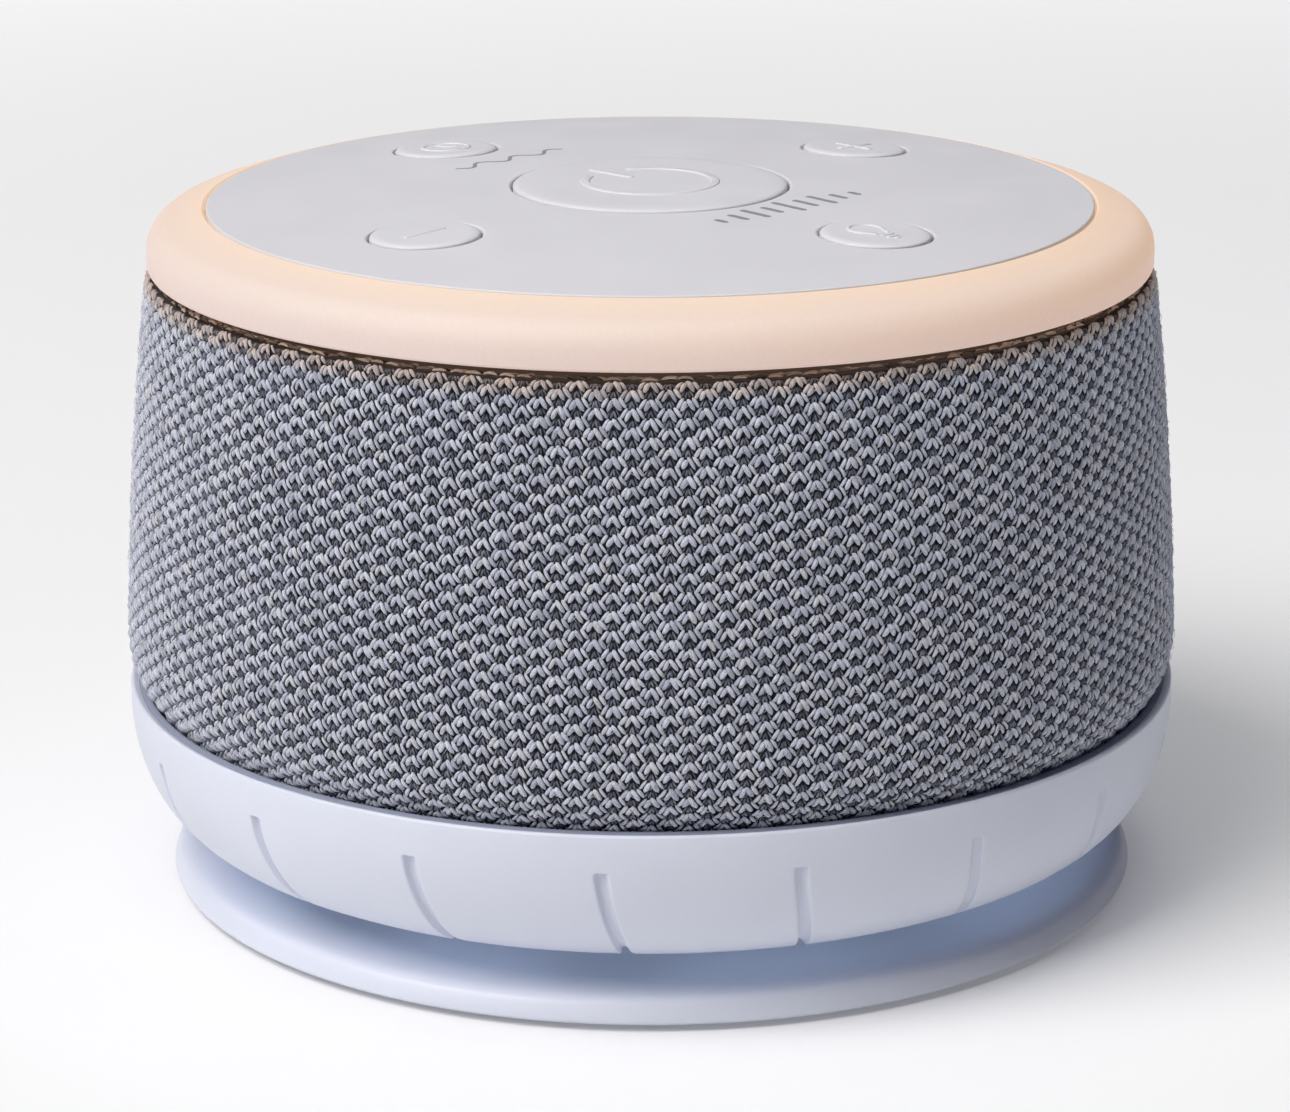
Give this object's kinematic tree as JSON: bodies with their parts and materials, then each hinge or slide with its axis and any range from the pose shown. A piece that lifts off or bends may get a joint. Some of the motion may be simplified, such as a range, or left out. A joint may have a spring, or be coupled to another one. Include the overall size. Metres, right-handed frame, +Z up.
{
  "type": "smart speaker",
  "caption": "Round fabric-covered bedside sound machine with a glowing night-light ring, top buttons and a grooved tone collar on a base plate.",
  "frame": {"origin": "middle of the underside, on the surface it stands on", "axes": "+Z up along the body's axis, -Y the front (night light button), +Y the back (power inlet), +X the plus button"},
  "size_m": [0.14, 0.14, 0.0926],
  "materials": {
    "shell_plastic": "satin moulded plastic, pale lavender grey",
    "panel_plastic": "fine matt moulded plastic, cool light grey",
    "diffuser": "frosted translucent plastic, lit warm from inside",
    "knit": "two-tone knit, pale grey motifs over charcoal",
    "black_plastic": "matt black",
    "grey_plastic": "matt grey",
    "rubber": "matt black rubber",
    "circuit_board": "green solder mask",
    "steel": "zinc-plated steel",
    "bronze": "sintered bronze",
    "copper": "copper winding on steel laminations",
    "cable": "black insulation"
  },
  "bodies": {
    "housing": {"base_plate": "shell_plastic", "base_screw_1": "steel", "base_screw_2": "steel", "base_screw_3": "steel", "base_screw_4": "steel", "bearing_lower": "bronze", "bearing_upper": "bronze", "board_screw_1": "steel", "board_screw_2": "steel", "board_screw_3": "steel", "bracket_screw_1": "steel", "bracket_screw_2": "steel", "bracket_screw_3": "steel", "carrier_screw_1": "steel", "carrier_screw_2": "steel", "carrier_screw_3": "steel", "collar_retaining_ring": "black_plastic", "control_board": "circuit_board", "fabric_sleeve": "knit", "fan_shroud": "grey_plastic", "grille_drum": "black_plastic", "isolator_1": "rubber", "isolator_2": "rubber", "isolator_3": "rubber", "lamp_ring_board": "circuit_board", "light_ring": "diffuser", "lower_housing": "shell_plastic", "main_board": "circuit_board", "minus_switch": "black_plastic", "motor_bracket": "steel", "motor_can": "steel", "motor_lead": "cable", "night_light_switch": "black_plastic", "panel_harness": "cable", "plus_switch": "black_plastic", "power_jack": "black_plastic", "power_switch": "black_plastic", "rubber_foot_ring": "rubber", "sleeve_hoop": "black_plastic", "stator": "copper", "timer_switch": "black_plastic", "top_carrier": "grey_plastic", "top_panel": "panel_plastic"},
    "power_button": {"power_button": "panel_plastic", "power_plunger": "grey_plastic"},
    "minus_button": {"minus_button": "panel_plastic", "minus_plunger": "grey_plastic"},
    "plus_button": {"plus_button": "panel_plastic", "plus_plunger": "grey_plastic"},
    "night_light_button": {"night_light_button": "panel_plastic", "night_light_plunger": "grey_plastic"},
    "timer_button": {"timer_button": "panel_plastic", "timer_plunger": "grey_plastic"},
    "tone_collar": {"tone_collar": "shell_plastic"},
    "fan_rotor": {"motor_shaft": "steel", "rotor_magnet": "grey_plastic", "fan_impeller": "grey_plastic"}
  },
  "joints": [
    {"name": "power_press", "type": "slide", "parent": "housing", "child": "power_button", "axis": [0, 0, -1], "range_m": [0, 0.0008], "stiffness_N_per_m": 1500, "springref_m": -0.0004},
    {"name": "minus_press", "type": "slide", "parent": "housing", "child": "minus_button", "axis": [0, 0, -1], "range_m": [0, 0.0008], "stiffness_N_per_m": 1500, "springref_m": -0.0004},
    {"name": "plus_press", "type": "slide", "parent": "housing", "child": "plus_button", "axis": [0, 0, -1], "range_m": [0, 0.0008], "stiffness_N_per_m": 1500, "springref_m": -0.0004},
    {"name": "night_light_press", "type": "slide", "parent": "housing", "child": "night_light_button", "axis": [0, 0, -1], "range_m": [0, 0.0008], "stiffness_N_per_m": 1500, "springref_m": -0.0004},
    {"name": "timer_press", "type": "slide", "parent": "housing", "child": "timer_button", "axis": [0, 0, -1], "range_m": [0, 0.0008], "stiffness_N_per_m": 1500, "springref_m": -0.0004},
    {"name": "tone_collar_turn", "type": "hinge", "parent": "housing", "child": "tone_collar", "pos_m": [0, 0, 0.018], "axis": [0, 0, 1], "range_deg": [0, 20]},
    {"name": "fan_spin", "type": "hinge", "parent": "housing", "child": "fan_rotor", "pos_m": [0, 0, 0.04], "axis": [0, 0, 1], "continuous": true}
  ]
}
